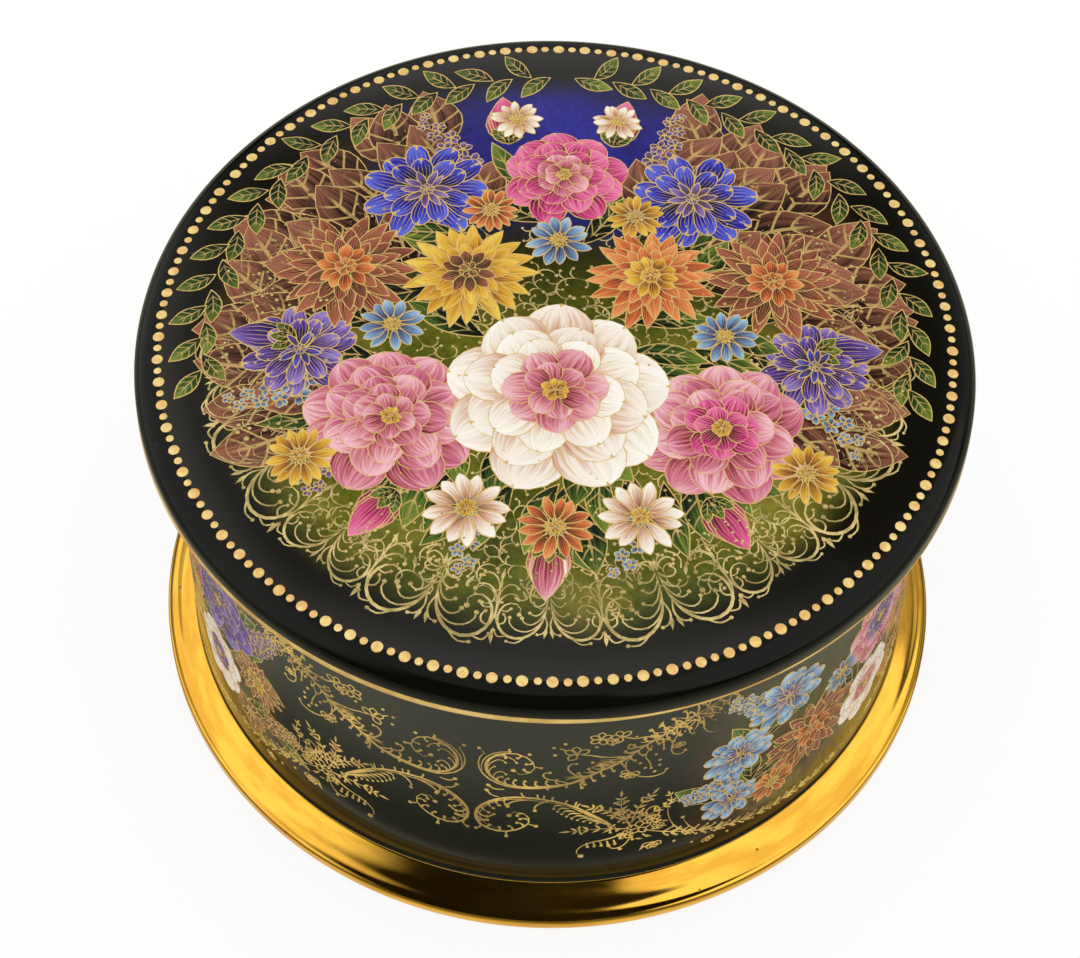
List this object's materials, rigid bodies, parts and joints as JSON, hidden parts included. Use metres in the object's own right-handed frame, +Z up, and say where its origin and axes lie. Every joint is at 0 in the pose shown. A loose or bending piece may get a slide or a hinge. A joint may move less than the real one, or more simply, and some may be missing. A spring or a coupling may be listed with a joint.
{
  "type": "music box",
  "caption": "Round porcelain music box with a lift-off domed lid, a flared gilded foot, a trinket room and a wind-up comb movement under its false floor.",
  "frame": {"origin": "centre of the ring that the foot stands on, at the table", "axes": "+Z up along the box's axis and the winding arbor; +X along the pinned cylinder, away from the spring barrel; -Y to the front of the pictured view"},
  "size_m": [0.108, 0.108, 0.0602],
  "materials": {
    "black_porcelain": "glossy dark glaze with gilded foot and scrolls",
    "painted_porcelain": "glossy glaze with painted medallion and gilded edge",
    "black_plastic": "satin",
    "cast_zinc": "as cast",
    "brass": "machined",
    "steel": "ground",
    "blued_steel": "blued",
    "nickel": "nickel plate",
    "nylon": "moulded"
  },
  "bodies": {
    "case": {"box_body": "black_porcelain", "bottom_plate": "black_plastic", "plate_screw_a": "steel", "plate_screw_b": "steel", "plate_screw_c": "steel", "bedplate": "cast_zinc", "spring_barrel": "brass", "barrel_cap": "brass", "barrel_screw_a": "steel", "barrel_screw_b": "steel", "mainspring": "blued_steel", "bearing_outer": "brass", "bearing_screw": "steel", "comb": "steel", "comb_screw_a": "steel", "comb_screw_b": "steel", "governor_frame": "brass", "governor_screw": "steel", "plunger_bush": "brass", "plunger_spring": "steel"},
    "lid": {"lid": "painted_porcelain"},
    "winder": {"winding_key": "nickel", "winding_arbor": "steel", "clutch_spring": "steel", "crown_wheel": "brass", "crown_nut": "steel"},
    "cylinder": {"cylinder_drum": "brass", "cylinder_cap_inner": "brass", "cylinder_cap_outer": "brass", "cylinder_arbor": "steel", "cylinder_pinion": "brass", "great_wheel": "brass"},
    "governor": {"governor_wheel": "nylon", "governor_arbor": "steel", "governor_pinion": "steel"},
    "fly": {"endless_screw": "steel", "fly_vane": "brass"},
    "stop": {"plunger": "brass", "stop_wire": "steel"}
  },
  "joints": [
    {"name": "lid_lift", "type": "slide", "parent": "case", "child": "lid", "axis": [0, 0, 1], "range_m": [0, 0.06]},
    {"name": "plunger_rise", "type": "slide", "parent": "case", "child": "stop", "axis": [0, 0, 1], "range_m": [0, 0.00285], "deforming": ["plunger_spring"]},
    {"name": "cylinder_turn", "type": "hinge", "parent": "case", "child": "cylinder", "pos_m": [0.0146, 0, 0.0212], "axis": [1, 0, 0], "continuous": true},
    {"name": "winder_turn", "type": "hinge", "parent": "case", "child": "winder", "pos_m": [0, 0, 0.009], "axis": [0, 0, 1], "continuous": true},
    {"name": "governor_turn", "type": "hinge", "parent": "case", "child": "governor", "pos_m": [0.03639, -0.0059, 0.02533], "axis": [1, 0, 0], "continuous": true},
    {"name": "fly_turn", "type": "hinge", "parent": "case", "child": "fly", "pos_m": [0.03699, -0.01135, 0.0144], "axis": [0, 0, 1], "continuous": true}
  ],
  "couplings": [
    {"joint": "plunger_rise", "follows": "lid_lift", "ratio": 0.0475},
    {"joint": "winder_turn", "follows": "cylinder_turn", "ratio": -0.25},
    {"joint": "governor_turn", "follows": "cylinder_turn", "ratio": -5},
    {"joint": "fly_turn", "follows": "cylinder_turn", "ratio": -120}
  ]
}
